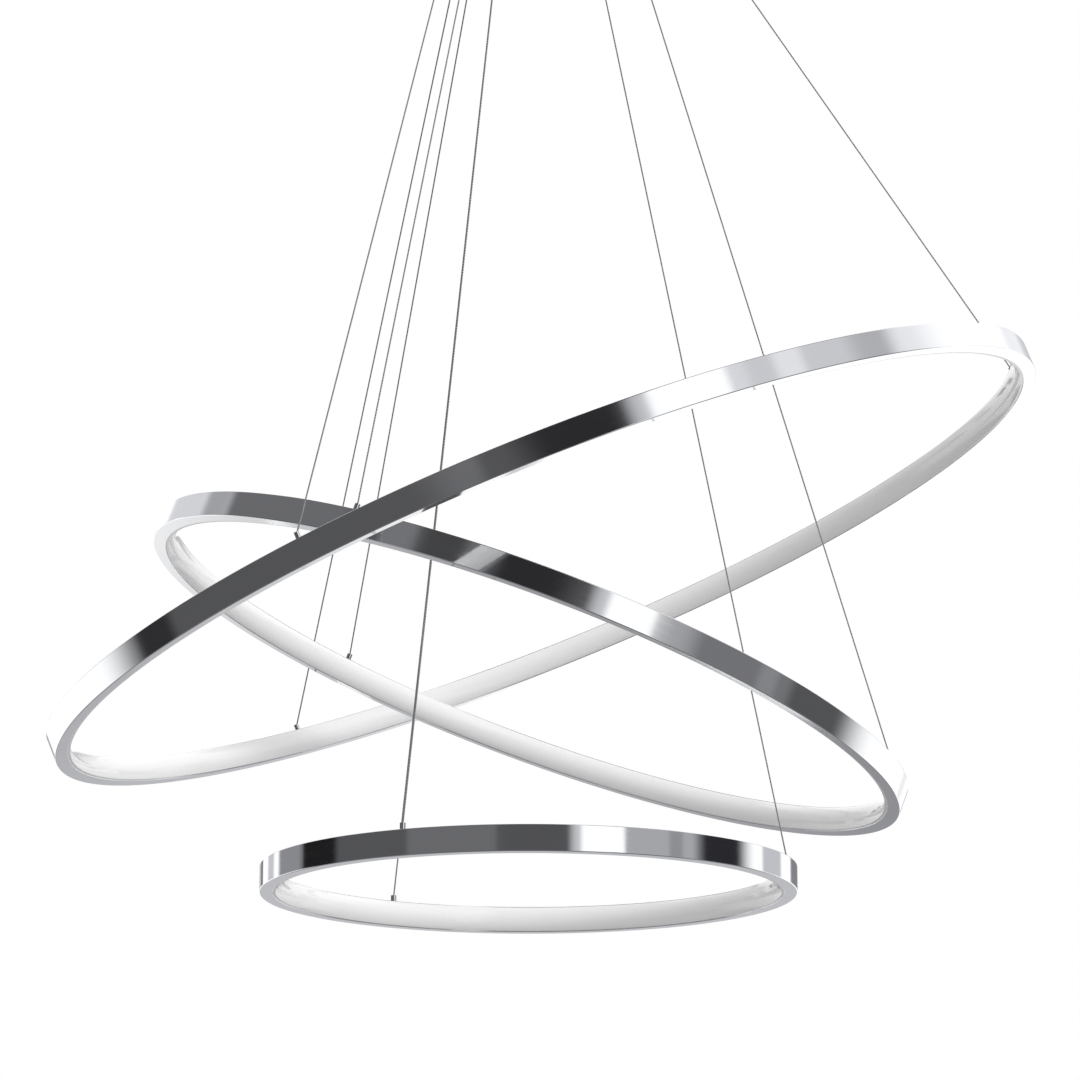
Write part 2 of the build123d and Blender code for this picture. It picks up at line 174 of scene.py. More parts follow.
def drawnSteelWire():
    # bright drawn steel strands: shiny metal, so that each strand glints as it winds round
    draw = dict(spacing=0.6 * mm, height=0.004 * mm, roughness=(0.13, 0.24))
    material, tree, shader = startMaterial("drawnSteelWire", "#BCBEC2", 0.18, 1.0)
    streaks = noiseAt(tree, objectPlace(tree), draw["spacing"])
    tree.links.new(toneMix(tree, streaks, "#D2D4D7", "#A2A5AA"), shader.inputs["Base Color"])
    tree.links.new(spread(tree, streaks, *draw["roughness"]), shader.inputs["Roughness"])
    bumpFrom(tree, shader, [(streaks, draw["height"])])
    return material


def zincPlatedSteel():
    # pressed and zinc plated: dull silver with small crystal patches
    plating = dict(crystal=3.5 * mm, height=0.01 * mm, roughness=(0.3, 0.45))
    material, tree, shader = startMaterial("zincPlatedSteel", "#B4B8BB", 0.36, 1.0)
    patches = addNode(tree, "TexVoronoi", {"Vector": objectPlace(tree), "Scale": 1 / plating["crystal"]})
    tone = toneMix(tree, patches.outputs["Color"], "#C4C8CB", "#A2A6AA")
    depth = patches.outputs["Distance"]
    sheen = spread(tree, depth, *plating["roughness"], fromLow=0, fromHigh=1)
    tree.links.new(tone, shader.inputs["Base Color"])
    tree.links.new(sheen, shader.inputs["Roughness"])
    bumpFrom(tree, shader, [(depth, plating["height"])])
    return material


def mouldedPlastic(name, colour, darker, roughness, grainSize):
    # injection moulded: even colour, a fine spark-eroded grain and a soft sheen
    moulding = dict(grainHeight=0.02 * mm, shiniest=0.85, dullest=1.15)
    material, tree, shader = startMaterial(name, colour, roughness, IOR=1.5)
    grain = noiseAt(tree, objectPlace(tree), grainSize)
    sheen = spread(tree, grain, roughness * moulding["shiniest"], roughness * moulding["dullest"])
    tree.links.new(toneMix(tree, grain, colour, darker), shader.inputs["Base Color"])
    tree.links.new(sheen, shader.inputs["Roughness"])
    bumpFrom(tree, shader, [(grain, moulding["grainHeight"])])
    return material


ringChrome = chromePlatedAluminium()
fittingChrome = chromePlatedBrass()
dishChrome = chromePlatedSteel()
opal = opalAcrylic()
wireSteel = drawnSteelWire()
zinc = zincPlatedSteel()
nylon = mouldedPlastic("mouldedNylon", "#F0F0EC", "#E4E4DF", 0.42, 0.4 * mm)
driverCase = mouldedPlastic("mouldedPolycarbonate", "#ECECE9", "#E0E0DC", 0.5, 0.6 * mm)
terminalPlastic = mouldedPlastic("mouldedPolyamide", "#E4E2DA", "#D6D4CB", 0.5, 0.5 * mm)
circuitMask = mouldedPlastic("whiteSolderMask", "#F1F1EE", "#E2E2DE", 0.35, 0.8 * mm)
ledSilicone = mouldedPlastic("phosphorSilicone", "#E9CB5A", "#DDBB45", 0.3, 0.3 * mm)
print("materials made")


# camera, where the photograph was taken from: just below the rings' height, looking up
view = dict(place=(-0.16943, -3.68381, -1.4893), pitchUp=12.92, turn=-2.75, lens=165.3, sensor=36.0,
            seesTo=100)
camera = bpy.data.objects.new("camera", bpy.data.cameras.new("camera"))
camera.data.lens = view["lens"]
camera.data.sensor_width = view["sensor"]
camera.data.clip_end = view["seesTo"]
camera.location = view["place"]
camera.rotation_euler = (radians(90 + view["pitchUp"]), 0, radians(view["turn"]))
bpy.context.scene.collection.objects.link(camera)
bpy.context.scene.camera = camera


# where the rings hang
ballHeight = -41.5  # centres of the grips' balls, where the wires start, below the ceiling
ringSizes = {
    "large": dict(diameter=800.0, drop=629.6, shift=14.8, tilt=21.7, roll=0.46, gripCircle=63.9),
    "medium": dict(diameter=601.4, drop=712.0, shift=-4.5, tilt=-20.25, roll=0.46, gripCircle=45.7),
    "small": dict(diameter=403.8, drop=874.9, shift=-1.2, tilt=0.0, roll=0.0, gripCircle=26.0),
}
channelSizes = dict(height=19.5, width=11.9, rim=10.2, web=1.4, flange=1.3, corner=0.6, lip=0.2,
                    brow=0.4, browEdge=0.12, segments=360)  # the brow is the thin top lip over the diffuser
diffuserSizes = dict(wall=1.5, bulge=4.0, clearance=0.05, overlap=0.3, overlapEdge=0.45, steps=20)
ferruleSizes = dict(washer=0.4, height=5.0, radius=2.3, mouthRadius=1.95, throatRadius=0.75,
                    mouthDepth=1.5, wireEndGap=0.4, studRadius=1.25, studLength=5.5, edge=0.3,
                    topEdge=0.15, mouthEdge=0.1, tipEdge=0.2, segments=32)
wireAngles = (0, 120, 240)  # round each ring


def ringPlace(ring):
    # X points at the ring's raised or lowered side, Z along its axis, origin in its bottom face
    a, b = radians(ring["tilt"]), radians(-ring["roll"])
    xAxis = Vector((cos(a), -sin(b) * sin(a), cos(b) * sin(a)))
    zAxis = Vector((-sin(a), -sin(b) * cos(a), cos(b) * cos(a)))
    turn = Matrix((xAxis, zAxis.cross(xAxis), zAxis)).transposed().to_4x4()
    centre = Vector((ring["shift"], 0, ballHeight - ring["drop"])) * mm
    return Matrix.Translation(centre) @ turn


def studPoint(ring, angle, lift):
    # point over a wire's stud hole, lift above the ring's top face, in the ring's own axes
    circle = ring["diameter"] / 2 - channelSizes["width"] / 2
    t = radians(angle)
    return Vector((circle * cos(t), circle * sin(t), channelSizes["height"] + lift)) * mm


def wireEnds(ring, angle):
    # upper end in the ball of its grip, lower end in the mouth of its ferrule
    t = radians(angle)
    ball = Vector((ring["gripCircle"] * cos(t), ring["gripCircle"] * sin(t), ballHeight)) * mm
    f = ferruleSizes
    lift = f["washer"] + f["height"] - f["mouthDepth"] + f["wireEndGap"]
    return ball, ringPlace(ring) @ studPoint(ring, angle, lift)


crispAngle = 35  # degrees


def addPiece(name, points, faces, material, spots=None, smoothTo=crispAngle):
    # a smooth-shaded object in the frame's own axes; edges sharper than smoothTo degrees stay crisp
    mesh = bpy.data.meshes.new(name)
    mesh.from_pydata(points, [], faces)
    mesh.validate()
    mesh.shade_smooth()
    mesh.set_sharp_from_angle(angle=radians(smoothTo))
    mesh.materials.append(material)
    if spots:
        mark = mesh.attributes.new("turnedSpot", "FLOAT_VECTOR", "POINT")
        mark.data.foreach_set("vector", [c for spot in spots for c in spot])
    piece = bpy.data.objects.new(name, mesh)
    bpy.context.scene.collection.objects.link(piece)
    return piece


fineHold = 0.05  # for outlines whose edges lie too close together for the usual hold


def rounded(corners, closed=True, steps=4, hold=0.15):
    # corners are (radius, height, fillet); each fillet is an arc with a holding point on both sides
    outline = []
    for i, (x, y, fillet) in enumerate(corners):
        here = Vector((x, y))
        if not fillet or (not closed and i in (0, len(corners) - 1)):
            outline.append(here)
            continue
        toPrevious = (Vector(corners[i - 1][:2]) - here).normalized()
        toNext = (Vector(corners[(i + 1) % len(corners)][:2]) - here).normalized()
        half = toPrevious.angle(toNext) / 2
        reach = fillet / tan(half)
        centre = here + (toPrevious + toNext).normalized() * fillet / sin(half)
        first, last = here + toPrevious * reach - centre, here + toNext * reach - centre
        outline.append(here + toPrevious * (reach + hold))
        for s in range(steps + 1):
            blend = s / steps
            outline.append(centre + (first * (1 - blend) + last * blend).normalized() * fillet)
        outline.append(here + toNext * (reach + hold))
    return outline


def ballArc(radius, startHeight, endHeight, steps=16):
    # plain corners on a ball's outline between two heights, both measured from its centre
    start = atan2(startHeight, sqrt(radius ** 2 - startHeight ** 2))
    end = atan2(endHeight, sqrt(radius ** 2 - endHeight ** 2))
    turns = [start + (end - start) * i / steps for i in range(steps + 1)]
    return [(radius * cos(t), radius * sin(t), 0) for t in turns]


# a knurl reaches its depth over knurlStart mm and keeps boreMargin mm off a bore; drift is how much of X and Y
# goes into a point's slow drift, and a radius below onAxis is a single point
turning = dict(knurlStart=0.1, segmentsPerRidge=4, boreMargin=1.0, drift=(0.01, 0.013), onAxis=1e-9)


def knurlBand(radius, start, end):
    # plain corners that a knurl needs where it starts and ends; turned() presses it between them
    step = turning["knurlStart"] if end > start else -turning["knurlStart"]
    return [(radius, start, 0), (radius, start + step, 0), (radius, end - step, 0), (radius, end, 0)]


def knurlOf(sizes, cutFrom):
    # a piece's segments and its knurl, as turned() takes them; cutFrom is the radius where the cutting starts
    ridges, depth = sizes["knurl"]
    return dict(segments=turning["segmentsPerRidge"] * ridges,
                knurl=(ridges, depth, sizes["knurlFrom"], sizes["knurlTo"], cutFrom))


def turnedSpot(radius, point):
    # radius, slow drift round the piece and height, which turnedPlace() reads
    alongX, alongY = turning["drift"]
    return radius, alongX * point.x + alongY * point.y, point.z


def turned(outlines, placements, segments, closed=True, knurl=None):
    # spins (radius, height) outlines in mm round Z, once for each placement, and notes each point's turned
    # spot; knurl is (ridges, depth, low, high, radius where the cutting starts)
    ridges, depth, low, high, cutFrom = knurl or (0, 0, 0, 0, 0)
    points, faces, spots = [], [], []
    for outline, place in zip(outlines, placements):
        columns = []
        for r, z in outline:
            first = len(points)
            turns = 1 if not closed and r < turning["onAxis"] else segments
            for i in range(turns):
                t = tau * i / segments
                cut = 0.0
                if r > cutFrom and low < z < high:
                    cut = depth * (0.5 - 0.5 * cos(ridges * t))
                local = Vector(((r - cut) * cos(t), (r - cut) * sin(t), z)) * mm
                points.append(place @ local)
                spots.append(turnedSpot(r * mm, local))
            columns.append([first] * segments if turns == 1 else list(range(first, first + segments)))
        pairs = zip(columns, columns[1:] + columns[:1]) if closed else zip(columns, columns[1:])
        for lower, upper in pairs:
            for i in range(segments):
                k = (i + 1) % segments
                corners = [lower[i], lower[k], upper[k], upper[i]]
                faces.append(list(dict.fromkeys(corners)))
    return points, faces, spots


def along(start, end):
    # a placement with its origin at start and Z toward end
    direction = (end - start).normalized()
    return Matrix.Translation(start) @ direction.to_track_quat("Z", "Y").to_matrix().to_4x4()


def addTurned(name, body, nodes, slot, material, outlines, placements, segments, closed=True, knurl=None):
    # a turned piece that rides on a body and stands for CAD nodes
    points, faces, spots = turned(outlines, placements, segments, closed, knurl)
    piece = addPiece(name, points, faces, material, spots)
    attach(piece, body)
    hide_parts(*nodes)
    return piece


# wires, made first of the pieces. The lay is drawn twice as long as on the real wire, so that its strands
# show;
# each wire is made as an upper and a lower piece that meet at a seam
wireSizes = dict(diameter=1.2, groove=0.14, strands=6, lay=14.0, step=0.5, seamShare=0.55, heldByGrip=40.0,
                 smoothTo=60)


def splinePoints(route, steps):
    # the points along a NURBS spline with the route's points as its control points
    curve = bpy.data.curves.new("route", "CURVE")
    curve.dimensions = "3D"
    spline = curve.splines.new("NURBS")
    spline.points.add(len(route) - 1)
    for point, spot in zip(spline.points, route):
        point.co = (*spot, 1)
    spline.order_u = 3  # a taut wire's two points make a straight run all the same
    spline.use_endpoint_u = True
    spline.resolution_u = steps
    carrier = bpy.data.objects.new("route", curve)
    mesh = bpy.data.meshes.new_from_object(carrier)
    points = [vertex.co.copy() for vertex in mesh.vertices]
    bpy.data.objects.remove(carrier)
    bpy.data.curves.remove(curve)
    bpy.data.meshes.remove(mesh)
    return points


def strandedWire(name, start, end, phase=0.0):
    # six outer strands laid round a core, as one lobed tube along its route's spline
    w = wireSizes
    path = splinePoints([start, end], round((end - start).length / mm / w["step"]))
    rows = len(path) - 1
    perRow = 2 * w["strands"]
    place = along(start, end)
    points, faces = [], []
    for i in range(rows + 1):
        z = (path[i] - start).length / mm
        twist = tau * (z + phase) / w["lay"]
        for j in range(perRow):
            r = w["diameter"] / 2 - (w["groove"] if j % 2 else 0)
            t = twist + tau * j / perRow
            points.append(place @ (Vector((r * cos(t), r * sin(t), z)) * mm))
    for i in range(rows):
        for j in range(perRow):
            a, b = i * perRow + j, i * perRow + (j + 1) % perRow
            faces.append((a, b, b + perRow, a + perRow))
    faces.append(tuple(reversed(range(perRow))))
    faces.append(tuple(range(rows * perRow, (rows + 1) * perRow)))
    return addPiece(name, points, faces, wireSteel, smoothTo=w["smoothTo"]), path


for ringName, ring in ringSizes.items():
    for number, angle in enumerate(wireAngles, 1):
        ball, foot = wireEnds(ring, angle)
        seam = ball.lerp(foot, wireSizes["seamShare"])
        gripEnd = ball + (foot - ball).normalized() * wireSizes["heldByGrip"] * mm
        upperLength = (seam - ball).length / mm
        for part, start, end, giveFrom, bodies, phase in (
                ("upper", ball, seam, gripEnd, ("root", f"{ringName}_wires"), 0.0),
                ("lower", seam, foot, seam, (f"{ringName}_wires", f"{ringName}_ring"), upperLength)):
            piece, path = strandedWire(f"{ringName}_wire_{number}_{part}", start, end, phase)
            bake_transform(piece)
            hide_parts(f"{ringName}_wire_{number}")
print("nine wires strung")


# rings: chrome channel and opal diffuser

def channelOutline(ring):
    # C-section, open towards the ring's centre; (radius, height, fillet) in mm
    c = channelSizes
    outer, inner = ring["diameter"] / 2, ring["diameter"] / 2 - c["rim"]
    back, low, high = outer - c["web"], c["flange"], c["height"] - c["flange"]
    brow, browLow = ring["diameter"] / 2 - c["width"], c["height"] - c["brow"]
    return rounded([(outer, 0, c["corner"]), (outer, c["height"], c["corner"]),
                    (brow, c["height"], c["browEdge"]), (brow, browLow, c["browEdge"]), (inner, browLow, 0),
                    (inner, high, 0), (back, high, 0), (back, low, 0), (inner, low, c["lip"]),
                    (inner, 0, c["lip"])], hold=fineHold)


def diffuserOutline(ring):
    # an opal strip that bulges out of the channel's mouth, its flat edges level with the channel's lips
    d, c = diffuserSizes, channelSizes
    inner, middle = ring["diameter"] / 2 - c["width"], c["height"] / 2
    front = inner - d["overlap"]
    low = c["flange"] + d["clearance"]

    def bulged(start, bulge, bottom, direction):
        half = middle - bottom
        bulgeRadius = (half ** 2 + bulge ** 2) / (2 * bulge)
        heights = [-half * cos(pi * i / d["steps"]) * direction for i in range(d["steps"] + 1)]
        return [Vector((start - sqrt(bulgeRadius ** 2 - h ** 2) + bulgeRadius - bulge, middle + h))
                for h in heights]

    seat = ring["diameter"] / 2 - c["rim"] - d["clearance"]
    return (bulged(front, d["bulge"] - d["overlap"], d["overlapEdge"], 1)
            + [Vector((seat, c["height"] - d["overlapEdge"])), Vector((seat, c["height"] - low))]
            + bulged(inner + d["wall"], d["bulge"], low, -1)
            + [Vector((seat, low)), Vector((seat, d["overlapEdge"]))])


for ringName, ring in ringSizes.items():
    place = ringPlace(ring)
    body = f"{ringName}_ring"
    addTurned(f"{ringName}_channel", body, [f"{ringName}_ring_channel"], "chrome_ring", ringChrome,
              [channelOutline(ring)], [place], channelSizes["segments"])
    addTurned(f"{ringName}_opal_diffuser", body, [f"{ringName}_diffuser"], "opal_diffuser", opal,
              [diffuserOutline(ring)], [place], channelSizes["segments"])

    # ferrules: a flared head on a stud, one over each stud hole
    f = ferruleSizes
    top = f["washer"] + f["height"]
    head = rounded([(0, -f["studLength"], 0), (f["studRadius"], -f["studLength"], f["tipEdge"]),
                    (f["studRadius"], f["washer"], 0), (f["radius"], f["washer"], f["edge"]),
                    (f["radius"], top, f["topEdge"]), (f["mouthRadius"], top, f["mouthEdge"]),
                    (f["throatRadius"], top - f["mouthDepth"], 0), (0, top - f["mouthDepth"], 0)],
                   closed=False, hold=fineHold)
    studSpots = [place @ Matrix.Translation(studPoint(ring, angle, 0)) for angle in wireAngles]
    addTurned(f"{ringName}_flared_ferrules", body, [f"{ringName}_ferrules"], "chrome_fitting", fittingChrome,
              [head] * len(studSpots), studSpots, f["segments"], closed=False)
print("three rings made")


# canopy: a spun dish on three knurled side screws
canopySizes = dict(radius=100.0, depth=36.0, wall=1.2, corner=4.0, cornerSteps=10, rimGap=0.5, rimEdge=0.35,
                   segments=256, stemHole=5.05, screwHole=2.1, screwHeight=-9.0, screwAngles=(60, 180, 300))
sideScrewSizes = dict(seatGap=0.05, headRadius=5.0, headLength=6.0, headEdge=0.6, seatEdge=0.3,
                      shankRadius=2.0, shankLength=8.0, tipEdge=0.3, knurl=(36, 0.35), knurlFrom=0.9,
                      knurlTo=5.0)
pegSizes = dict(reach=3, segments=48)  # pegs that cut the dish's holes
c, s = canopySizes, sideScrewSizes
dishOutline = rounded([(0, -c["depth"], 0), (c["radius"], -c["depth"], c["corner"]),
                       (c["radius"], -c["rimGap"], c["rimEdge"]),
                       (c["radius"] - c["wall"], -c["rimGap"], c["rimEdge"]),
                       (c["radius"] - c["wall"], c["wall"] - c["depth"], c["corner"] - c["wall"]),
                       (0, c["wall"] - c["depth"], 0)], closed=False, steps=c["cornerSteps"])
dish = addTurned("spun_canopy_dish", "root", ["canopy_dish"], "canopy_chrome", dishChrome, [dishOutline],
                 [Matrix.Identity(4)], c["segments"], closed=False)


def outward(angle, distance, height):
    # a placement on the canopy's side with Z pointing away from the canopy's axis
    t = radians(angle)
    start = Vector((distance * cos(t), distance * sin(t), height)) * mm
    return along(start, start + Vector((cos(t), sin(t), 0)))


def drill(piece, outlines, placements):
    # cuts turned pegs out of a piece, then stores its turned spots again
    points, faces = turned(outlines, placements, pegSizes["segments"], closed=False)[:2]
    pegs = addPiece("pegs", points, faces, zinc)
    cut = piece.modifiers.new("holes", "BOOLEAN")
    cut.object, cut.operation, cut.solver = pegs, "DIFFERENCE", "EXACT"
    drilled = bpy.data.meshes.new_from_object(piece.evaluated_get(bpy.context.evaluated_depsgraph_get()))
    piece.modifiers.remove(cut)
    piece.data = drilled
    bpy.data.objects.remove(pegs)
    drilled.set_sharp_from_angle(angle=radians(crispAngle))
    spots = [turnedSpot(hypot(vertex.co.x, vertex.co.y), vertex.co) for vertex in drilled.vertices]
    drilled.attributes["turnedSpot"].data.foreach_set("vector", [c for spot in spots for c in spot])


def peg(radius):
    # a peg's outline, which reaches past the dish's wall on both sides
    reach = pegSizes["reach"]
    return [Vector((0, -reach)), Vector((radius, -reach)), Vector((radius, reach)), Vector((0, reach))]


wireRuns = {(ringName, number): wireEnds(ring, angle)
            for ringName, ring in ringSizes.items() for number, angle in enumerate(wireAngles, 1)}
stemSpots = [Matrix.Translation((ball.x, ball.y, -c["depth"] * mm)) for ball, foot in wireRuns.values()]
screwSpots = [outward(angle, c["radius"] + s["seatGap"], c["screwHeight"]) for angle in c["screwAngles"]]
drill(dish, [peg(c["stemHole"])] * len(stemSpots) + [peg(c["screwHole"])] * len(screwSpots),
      stemSpots + screwSpots)

screwOutline = rounded([(0, s["headLength"], 0), (s["headRadius"], s["headLength"], s["headEdge"]),
                        *knurlBand(s["headRadius"], s["knurlTo"], s["knurlFrom"]),
                        (s["headRadius"], 0, s["seatEdge"]), (s["shankRadius"], 0, 0),
                        (s["shankRadius"], -s["shankLength"], s["tipEdge"]), (0, -s["shankLength"], 0)],
                       closed=False)
addTurned("knurled_side_screws", "root", ["canopy_screws"], "chrome_fitting", fittingChrome,
          [screwOutline] * len(screwSpots), screwSpots, closed=False, **knurlOf(s, s["shankRadius"]))
print("canopy made")


# wire grips: stem and collar hold a ball, the grip hangs from it along its wire
gripSizes = dict(ball=6.0, ballSteps=24, boreRadius=0.8, neckRadius=1.9, neckEnd=10.0, neckEdge=0.3,
                 radius=4.5, end=30.0, edge=0.6, endEdge=0.1, cavityRadius=3.3, cavityTop=20.0, segments=64)
socketSizes = dict(cavity=6.05, radius=8.0, flangeTop=5.5, flangeBottom=3.5, flangeEdge=0.15,
                   flangeLowerEdge=0.1, lipBottom=-3.4, stemRadius=5.0, stemTop=12.7, stemEdge=0.5,
                   stemBore=2.0, boreEdge=0.3, edge=0.5, knurl=(56, 0.22), knurlFrom=-2.3, knurlTo=2.6)
capSizes = dict(hole=2.05, holeEdge=0.2, spigot=3.25, spigotTop=28.5, seatEdge=0.05, end=32.0, edge=0.4,
                knurl=(32, 0.2), knurlFrom=30.25, knurlTo=31.45)
plungerSizes = dict(top=22.6, tubeRadius=2.2, collarTop=25.95, collarRadius=3.2, collarBottom=28.45,
                    noseRadius=2.0, noseEnd=36.5, edge=0.5, fineEdge=0.2)
g, k, a, p = gripSizes, socketSizes, capSizes, plungerSizes
stemOutline = rounded([(k["stemBore"], k["stemTop"], k["boreEdge"]),
                       (k["stemRadius"], k["stemTop"], k["stemEdge"]), (k["stemRadius"], k["flangeTop"], 0),
                       (k["radius"], k["flangeTop"], k["flangeEdge"]),
                       (k["radius"], k["flangeBottom"], k["flangeLowerEdge"]),
                       *ballArc(k["cavity"], k["flangeBottom"], sqrt(k["cavity"] ** 2 - k["stemBore"] ** 2))])
collarOutline = rounded([(k["radius"], k["flangeBottom"], k["flangeEdge"]),
                         *knurlBand(k["radius"], k["knurlTo"], k["knurlFrom"]),
                         (k["radius"], k["lipBottom"], k["edge"]),
                         *ballArc(k["cavity"], k["lipBottom"], 0), (k["cavity"], k["flangeBottom"], 0)])
gripOutline = rounded([*ballArc(g["ball"], -sqrt(g["ball"] ** 2 - g["boreRadius"] ** 2),
                                sqrt(g["ball"] ** 2 - g["neckRadius"] ** 2), g["ballSteps"]),
                       (g["neckRadius"], g["neckEnd"], g["neckEdge"]), (g["radius"], g["neckEnd"], g["edge"]),
                       (g["radius"], g["end"], g["endEdge"]), (g["cavityRadius"], g["end"], 0),
                       (g["cavityRadius"], g["cavityTop"], 0), (g["boreRadius"], g["cavityTop"], 0)])
capOutline = rounded([(a["hole"], a["spigotTop"], 0), (a["spigot"], a["spigotTop"], 0),
                      (a["spigot"], g["end"], 0), (g["radius"], g["end"], a["seatEdge"]),
                      *knurlBand(g["radius"], a["knurlFrom"], a["knurlTo"]),
                      (g["radius"], a["end"], a["edge"]), (a["hole"], a["end"], a["holeEdge"])],
                     hold=fineHold)
plungerOutline = rounded([(g["boreRadius"], p["top"], p["fineEdge"]),
                          (p["tubeRadius"], p["top"], p["fineEdge"]), (p["tubeRadius"], p["collarTop"], 0),
                          (p["collarRadius"], p["collarTop"], p["fineEdge"]),
                          (p["collarRadius"], p["collarBottom"], p["fineEdge"]),
                          (p["noseRadius"], p["collarBottom"], 0), (p["noseRadius"], p["noseEnd"], p["edge"]),
                          (g["boreRadius"], p["noseEnd"], p["fineEdge"])])

socketSpots = [Matrix.Translation(ball) for ball, foot in wireRuns.values()]
gripSpots = {key: along(*ends) for key, ends in wireRuns.items()}
addTurned("socket_stems", "root", ["grip_stems"], "chrome_fitting", fittingChrome,
          [stemOutline] * len(socketSpots), socketSpots, g["segments"])
addTurned("knurled_socket_collars", "root", ["grip_collars"], "chrome_fitting", fittingChrome,
          [collarOutline] * len(socketSpots), socketSpots, **knurlOf(k, k["cavity"] + turning["boreMargin"]))
addTurned("knurled_grip_caps", "root", ["grip_caps"], "chrome_fitting", fittingChrome,
          [capOutline] * len(gripSpots), list(gripSpots.values()),
          **knurlOf(a, a["spigot"] + turning["boreMargin"]))
for ringName in ringSizes:
    spots = [gripSpots[ringName, number] for number in range(1, len(wireAngles) + 1)]
    addTurned(f"{ringName}_ball_grips", "root", [f"{ringName}_grip_bodies"], "chrome_fitting", fittingChrome,
              [gripOutline] * len(spots), spots, g["segments"])
    for number, spot in enumerate(spots, 1):
        addTurned(f"{ringName}_plunger_{number}_turned", f"{ringName}_plunger_{number}",
                  [f"{ringName}_release_plunger_{number}"], "chrome_fitting", fittingChrome,
                  [plungerOutline], [spot], g["segments"])
print("grips made")


# CAD nodes that keep their shape and get their finish here
nodeFinish = {"_bushes": nylon, "_stud_nuts": zinc, "_led_strip": circuitMask, "_leds": ledSilicone,
              "_led_driver": driverCase, "terminal_block": terminalPlastic, "terminal_screws": zinc,
              "driver_screws": zinc, "ceiling_plate": zinc, "stem_nuts": zinc}
for nodeName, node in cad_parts.items():
    for ending, finish in nodeFinish.items():
        if ending in nodeName:
            node.data.materials.clear()
            node.data.materials.append(finish)
            break
print("CAD nodes finished")


# floor, lights and the studio that the chrome mirrors
studio = dict(floorHeight=-3.2, floorRadius=14.0, floorCorners=128, floorGlow=0.3, keyPower=122.0,
              keySize=2.5, keyPlace=(3.0, -2.8, 1.6), aim=(0, 0, -0.75), mirrorStrength=1.15,
              sky=[(0.0, "#D4D4D4"), (0.35, "#A8A8A8"), (0.82, "#F2F2F2")])  # soft light: below, level, above
floorTurns = [tau * i / studio["floorCorners"] for i in range(studio["floorCorners"])]
floorPoints = [Vector((studio["floorRadius"] * cos(t), studio["floorRadius"] * sin(t),
                       studio["floorHeight"])) for t in floorTurns]
paleFloor, floorTree, floorShader = startMaterial("paleFloor", "#F2F2F2", 0.6, Emission_Color=srgb("#FFFFFF"),
                                                  Emission_Strength=studio["floorGlow"])
seeThrough = addNode(floorTree, "MixShader", {0: addNode(floorTree, "NewGeometry").outputs["Backfacing"],
                                              1: floorShader.outputs[0],
                                              2: addNode(floorTree, "BsdfTransparent").outputs[0]})
# the floor is gone when it is seen from below
floorTree.links.new(seeThrough.outputs[0], floorTree.nodes["Material Output"].inputs["Surface"])
floor = addPiece("floor", floorPoints, [tuple(range(studio["floorCorners"]))], paleFloor)
floor.visible_glossy = False
floor.visible_diffuse = False

keyLight = bpy.data.objects.new("keyLight", bpy.data.lights.new("keyLight", "AREA"))
keyLight.data.energy = studio["keyPower"]
keyLight.data.size = studio["keySize"]
keyLight.matrix_world = along(Vector(studio["keyPlace"]), Vector(studio["aim"])) @ Matrix.Rotation(pi, 4, "X")
keyLight.visible_glossy = False
bpy.context.scene.collection.objects.link(keyLight)

